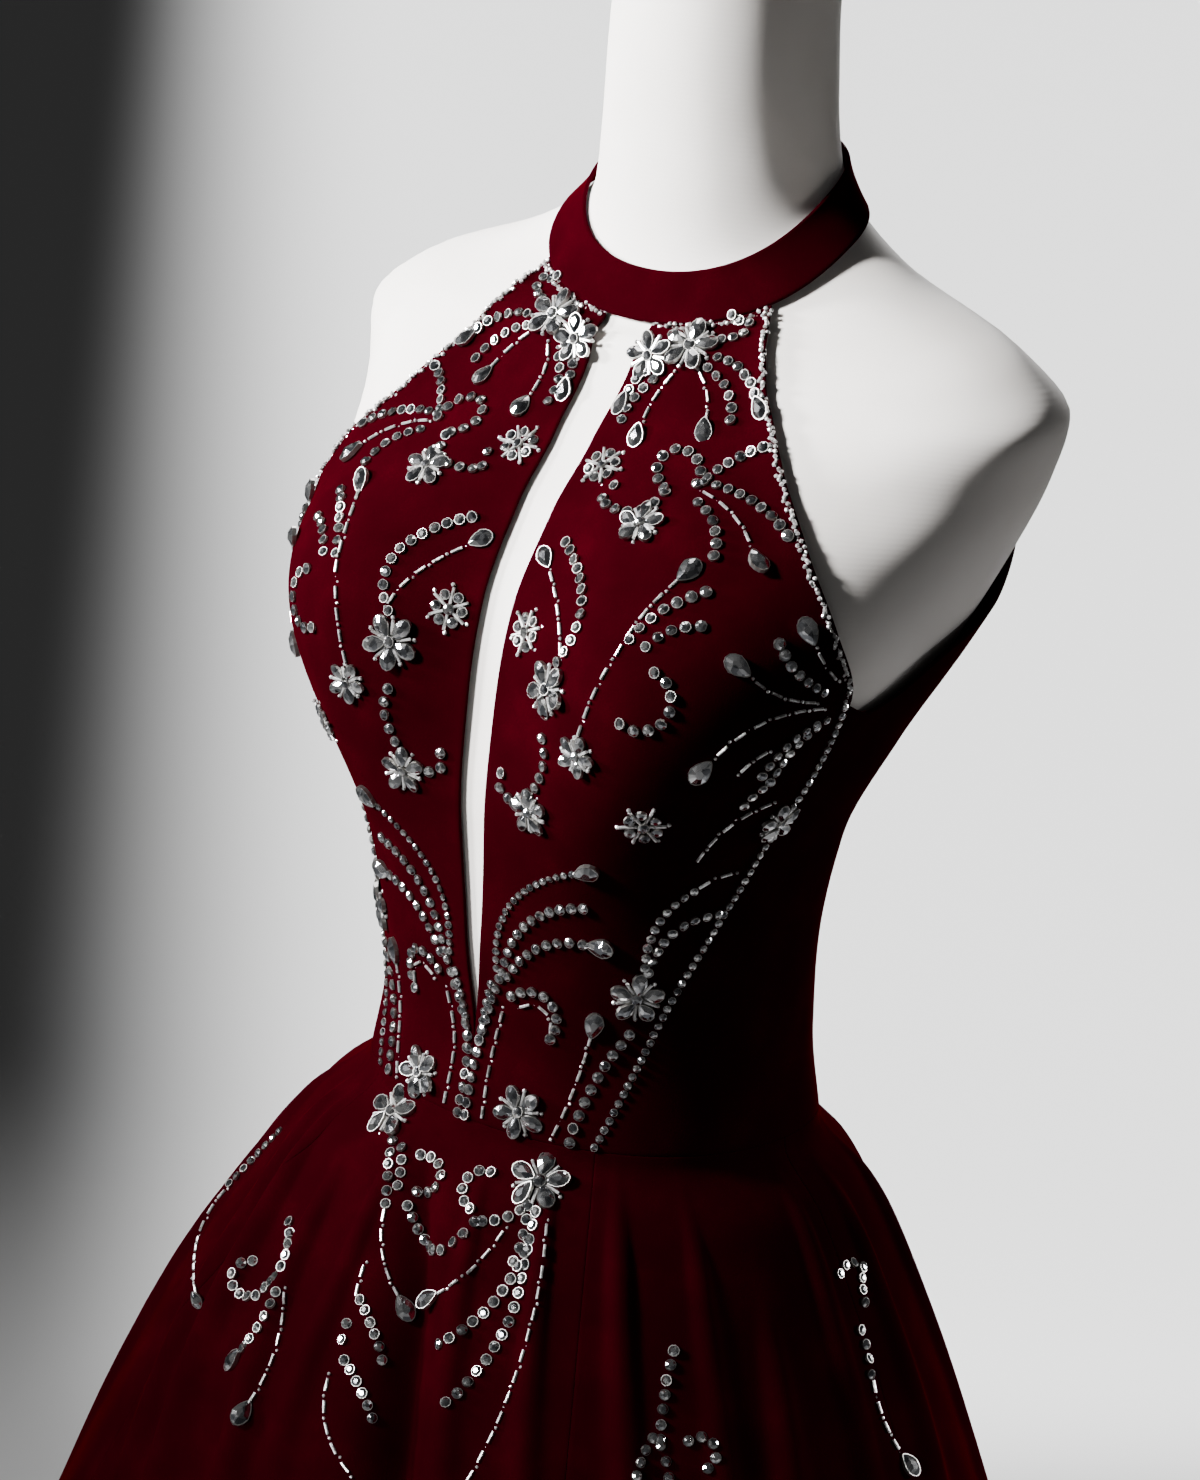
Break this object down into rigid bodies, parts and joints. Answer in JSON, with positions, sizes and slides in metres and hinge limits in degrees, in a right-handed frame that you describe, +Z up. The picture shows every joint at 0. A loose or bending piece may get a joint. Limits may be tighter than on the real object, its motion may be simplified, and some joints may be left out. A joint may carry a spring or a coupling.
{
  "type": "halter evening gown on a dress form",
  "caption": "Floor-length velvet halter gown with a high neckband, a long open keyhole in the bodice and a full flared skirt, standing on a limbless dress form.",
  "frame": {"origin": "on the floor, at the centre of the stand base's underside", "axes": "+Z up the stand's pole to the neck, -Y out of the gown's front, +X to the wearer's left"},
  "size_m": [1.0682, 1.0669, 1.5873],
  "materials": {
    "burgundy_velvet": "silk-look pile velvet, matt face on with a bright sheen at grazing angles",
    "covered_button": "buttons covered in the same velvet",
    "off_white_jersey": "fine knitted jersey pulled tight over the form",
    "brushed_steel": "satin steel pole and weighted base"
  },
  "bodies": {
    "root": {"neckband": "burgundy_velvet", "bodice_front_left": "burgundy_velvet", "bodice_front_right": "burgundy_velvet", "bodice_back_left": "burgundy_velvet", "bodice_back_right": "burgundy_velvet", "skirt_front": "burgundy_velvet", "skirt_side_front_left": "burgundy_velvet", "skirt_side_front_right": "burgundy_velvet", "skirt_side_back_left": "burgundy_velvet", "skirt_side_back_right": "burgundy_velvet", "skirt_back_left": "burgundy_velvet", "skirt_back_right": "burgundy_velvet", "neckband_button_1": "covered_button", "neckband_button_2": "covered_button", "bodice_button_01": "covered_button", "bodice_button_02": "covered_button", "bodice_button_03": "covered_button", "bodice_button_04": "covered_button", "bodice_button_05": "covered_button", "bodice_button_06": "covered_button", "bodice_button_07": "covered_button", "bodice_button_08": "covered_button", "bodice_button_09": "covered_button", "bodice_button_10": "covered_button", "skirt_button_1": "covered_button", "skirt_button_2": "covered_button", "skirt_button_3": "covered_button", "form_body": "off_white_jersey", "stand_pole": "brushed_steel", "stand_base": "brushed_steel"}
  },
  "joints": []
}
